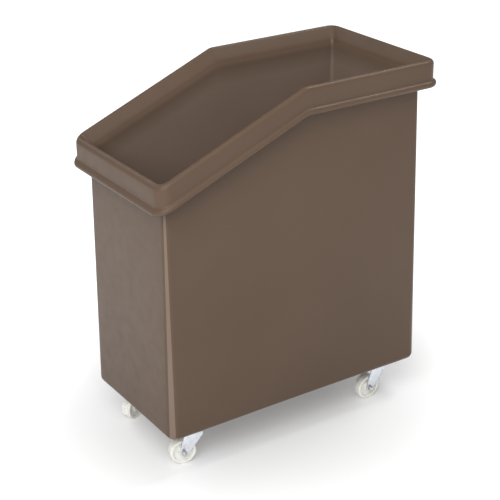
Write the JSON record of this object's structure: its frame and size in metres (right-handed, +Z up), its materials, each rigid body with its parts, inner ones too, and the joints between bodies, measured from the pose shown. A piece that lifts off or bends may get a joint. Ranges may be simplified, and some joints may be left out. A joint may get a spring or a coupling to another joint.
{
  "type": "mobile ingredients bin",
  "caption": "Tall open plastic bin with straight walls, a rim that slopes down to the front, a hanging rim skirt with a bead, and swivel castors under its corners.",
  "frame": {"origin": "on the floor, midway between the sides and between the ends", "axes": "+Z up, -Y towards the low front end, +Y towards the high back end, X across"},
  "size_m": [0.332, 0.602, 0.696],
  "materials": {
    "brown_polyethylene": "dull brown moulded polyethylene with a fine grain",
    "white_nylon": "natural white nylon, smooth",
    "zinc_plated_steel": "bright zinc plating on pressed sheet",
    "fastener_steel": "plain stainless fasteners",
    "bearing_steel": "ground steel"
  },
  "bodies": {
    "bin": {"bin_body": "brown_polyethylene", "castor_fixing_bolts": "fastener_steel", "castor_fixing_washers": "fastener_steel", "castor_fixing_nuts": "fastener_steel", "castor_front_right_plate": "zinc_plated_steel", "castor_front_right_kingpin": "zinc_plated_steel", "castor_front_right_race_cap": "zinc_plated_steel", "castor_front_left_plate": "zinc_plated_steel", "castor_front_left_kingpin": "zinc_plated_steel", "castor_front_left_race_cap": "zinc_plated_steel", "castor_back_right_plate": "zinc_plated_steel", "castor_back_right_kingpin": "zinc_plated_steel", "castor_back_right_race_cap": "zinc_plated_steel", "castor_back_left_plate": "zinc_plated_steel", "castor_back_left_kingpin": "zinc_plated_steel", "castor_back_left_race_cap": "zinc_plated_steel"},
    "front_right_fork": {"castor_front_right_fork": "zinc_plated_steel", "castor_front_right_upper_balls": "bearing_steel", "castor_front_right_lower_balls": "bearing_steel", "castor_front_right_axle_sleeve": "bearing_steel", "castor_front_right_axle_bolt": "fastener_steel", "castor_front_right_axle_nut": "fastener_steel"},
    "front_right_wheel": {"castor_front_right_wheel": "white_nylon"},
    "front_left_fork": {"castor_front_left_fork": "zinc_plated_steel", "castor_front_left_upper_balls": "bearing_steel", "castor_front_left_lower_balls": "bearing_steel", "castor_front_left_axle_sleeve": "bearing_steel", "castor_front_left_axle_bolt": "fastener_steel", "castor_front_left_axle_nut": "fastener_steel"},
    "front_left_wheel": {"castor_front_left_wheel": "white_nylon"},
    "back_right_fork": {"castor_back_right_fork": "zinc_plated_steel", "castor_back_right_upper_balls": "bearing_steel", "castor_back_right_lower_balls": "bearing_steel", "castor_back_right_axle_sleeve": "bearing_steel", "castor_back_right_axle_bolt": "fastener_steel", "castor_back_right_axle_nut": "fastener_steel"},
    "back_right_wheel": {"castor_back_right_wheel": "white_nylon"},
    "back_left_fork": {"castor_back_left_fork": "zinc_plated_steel", "castor_back_left_upper_balls": "bearing_steel", "castor_back_left_lower_balls": "bearing_steel", "castor_back_left_axle_sleeve": "bearing_steel", "castor_back_left_axle_bolt": "fastener_steel", "castor_back_left_axle_nut": "fastener_steel"},
    "back_left_wheel": {"castor_back_left_wheel": "white_nylon"}
  },
  "joints": [
    {"name": "front_right_swivel", "type": "hinge", "parent": "bin", "child": "front_right_fork", "pos_m": [0.1035, -0.213, 0.076], "axis": [0, 0, 1], "continuous": true},
    {"name": "front_right_wheel_spin", "type": "hinge", "parent": "front_right_fork", "child": "front_right_wheel", "pos_m": [0.09769, -0.23629, 0.025], "axis": [0.9703, -0.2419, 0], "continuous": true},
    {"name": "front_left_swivel", "type": "hinge", "parent": "bin", "child": "front_left_fork", "pos_m": [-0.1035, -0.213, 0.076], "axis": [0, 0, 1], "continuous": true},
    {"name": "front_left_wheel_spin", "type": "hinge", "parent": "front_left_fork", "child": "front_left_wheel", "pos_m": [-0.09374, -0.23492, 0.025], "axis": [0.9135, 0.4067, 0], "continuous": true},
    {"name": "back_right_swivel", "type": "hinge", "parent": "bin", "child": "back_right_fork", "pos_m": [0.1035, 0.213, 0.076], "axis": [0, 0, 1], "continuous": true},
    {"name": "back_right_wheel_spin", "type": "hinge", "parent": "back_right_fork", "child": "back_right_wheel", "pos_m": [0.10434, 0.18901, 0.025], "axis": [0.9994, 0.0349, 0], "continuous": true},
    {"name": "back_left_swivel", "type": "hinge", "parent": "bin", "child": "back_left_fork", "pos_m": [-0.1035, 0.213, 0.076], "axis": [0, 0, 1], "continuous": true},
    {"name": "back_left_wheel_spin", "type": "hinge", "parent": "back_left_fork", "child": "back_left_wheel", "pos_m": [-0.10767, 0.18937, 0.025], "axis": [0.9848, -0.1736, 0], "continuous": true}
  ]
}
